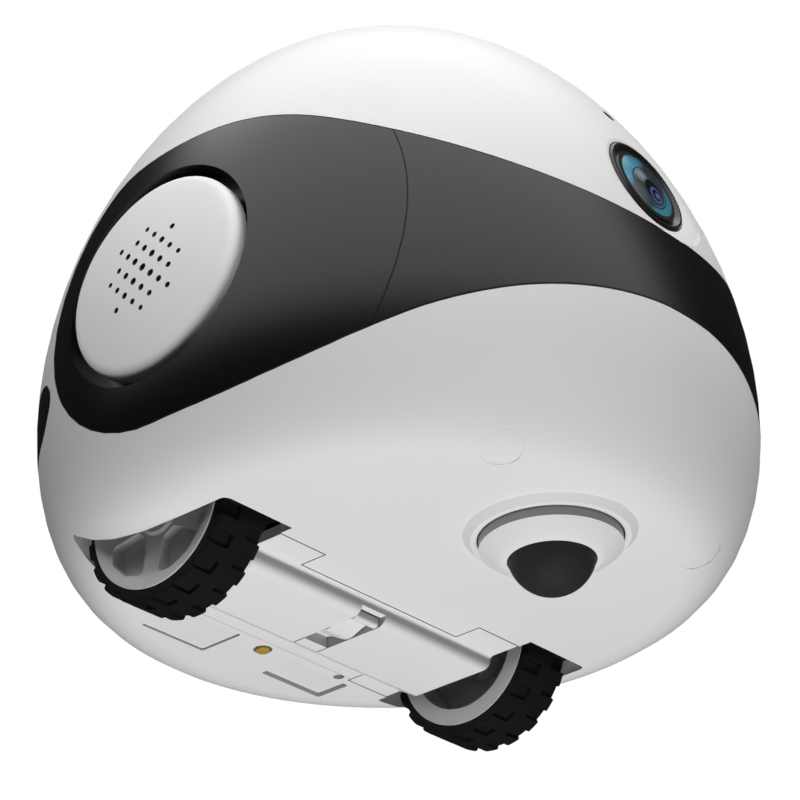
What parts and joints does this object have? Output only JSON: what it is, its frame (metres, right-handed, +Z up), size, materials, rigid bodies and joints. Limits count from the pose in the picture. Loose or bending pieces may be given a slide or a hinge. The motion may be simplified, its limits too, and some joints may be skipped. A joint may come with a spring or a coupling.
{
  "type": "pet companion robot",
  "caption": "Ball-shaped rolling pet companion robot with a white two-part shell, black band, round speaker covers, front camera, geared drive wheels and a ball caster.",
  "frame": {"origin": "on the floor under the middle of the round body", "axes": "+Z up, the camera faces -Y, the robot's own right ear is at -X"},
  "size_m": [0.0958, 0.0963, 0.091],
  "materials": {
    "shell_white": "satin white moulded plastic",
    "cover_white": "fine matt white plastic",
    "band_black": "smooth black plastic",
    "speaker_dark": "matt dark cone and basket",
    "button_grey": "matt dark grey plastic",
    "board_green": "green lacquered board",
    "steel": "bright steel",
    "pad_grey": "pale soft pad",
    "contact_gold": "gold-coloured metal",
    "pinion_brass": "turned brass",
    "gear_ivory": "natural moulded nylon",
    "frame_grey": "matt grey plastic",
    "ball_black": "polished dark plastic ball",
    "hub_grey": "satin light grey plastic",
    "tyre_black": "matt black rubber",
    "battery_can": "wrapped cell",
    "bezel_black": "matt black plastic",
    "lens_glass": "coated glass"
  },
  "bodies": {
    "chassis": {"upper_shell": "shell_white", "lower_shell": "shell_white", "front_band": "band_black", "ear_panel_right": "band_black", "ear_panel_left": "band_black", "speaker_cover_right": "cover_white", "speaker_cover_left": "cover_white", "speaker_driver": "speaker_dark", "rear_strip": "band_black", "button_board": "board_green", "charge_socket": "steel", "screw_plugs": "shell_white", "case_screws": "steel", "rear_pads": "pad_grey", "charge_contact": "contact_gold", "caster_cap": "shell_white", "caster_cup": "frame_grey", "drive_housing": "bezel_black", "housing_screws": "steel", "motor_right": "steel", "motor_left": "steel", "axle_bush_right": "contact_gold", "axle_bush_left": "contact_gold", "inner_frame": "frame_grey", "battery": "battery_can", "main_board": "board_green", "board_screws": "steel", "lens_bezel": "bezel_black", "lens_barrel": "bezel_black", "lens_glass": "lens_glass", "inner_lens": "lens_glass", "camera_board": "board_green", "microphone": "bezel_black"},
    "wheel_right": {"tyre_right": "tyre_black", "hub_right": "hub_grey", "axle_right": "steel", "drive_gear_right": "gear_ivory"},
    "wheel_left": {"tyre_left": "tyre_black", "hub_left": "hub_grey", "axle_left": "steel", "drive_gear_left": "gear_ivory"},
    "pinion_right": {"pinion_right": "pinion_brass"},
    "pinion_left": {"pinion_left": "pinion_brass"},
    "caster_ball": {"caster_ball": "ball_black"},
    "power_button": {"power_button": "button_grey"},
    "belly_cover": {"belly_cover": "shell_white"},
    "cover_latch": {"cover_latch": "shell_white"}
  },
  "joints": [
    {"name": "wheel_right_spin", "type": "hinge", "parent": "chassis", "child": "wheel_right", "pos_m": [0, 0.0116, 0.0123], "axis": [1, 0, 0], "continuous": true},
    {"name": "pinion_right_spin", "type": "hinge", "parent": "chassis", "child": "pinion_right", "pos_m": [0, 0.0116, 0.0183], "axis": [1, 0, 0], "continuous": true},
    {"name": "wheel_left_spin", "type": "hinge", "parent": "chassis", "child": "wheel_left", "pos_m": [0, 0.0116, 0.0123], "axis": [1, 0, 0], "continuous": true},
    {"name": "pinion_left_spin", "type": "hinge", "parent": "chassis", "child": "pinion_left", "pos_m": [0, 0.0116, 0.0183], "axis": [1, 0, 0], "continuous": true},
    {"name": "ball_roll", "type": "hinge", "parent": "chassis", "child": "caster_ball", "pos_m": [0, -0.0243, 0.0057], "axis": [1, 0, 0], "continuous": true},
    {"name": "button_press", "type": "slide", "parent": "chassis", "child": "power_button", "axis": [0, -1, 0], "range_m": [0, 0.0008], "stiffness_N_per_m": 400},
    {"name": "cover_pull", "type": "slide", "parent": "chassis", "child": "belly_cover", "axis": [0, 0, -1], "range_m": [0, 0.012]},
    {"name": "latch_flex", "type": "hinge", "parent": "belly_cover", "child": "cover_latch", "pos_m": [-0.00025, 0.0172, 0.0075], "axis": [-1, 0, 0], "range_deg": [0, 6], "stiffness_Nm_per_rad": 0.02}
  ],
  "couplings": [
    {"joint": "pinion_right_spin", "follows": "wheel_right_spin", "ratio": -2.3333},
    {"joint": "pinion_left_spin", "follows": "wheel_left_spin", "ratio": -2.3333}
  ]
}
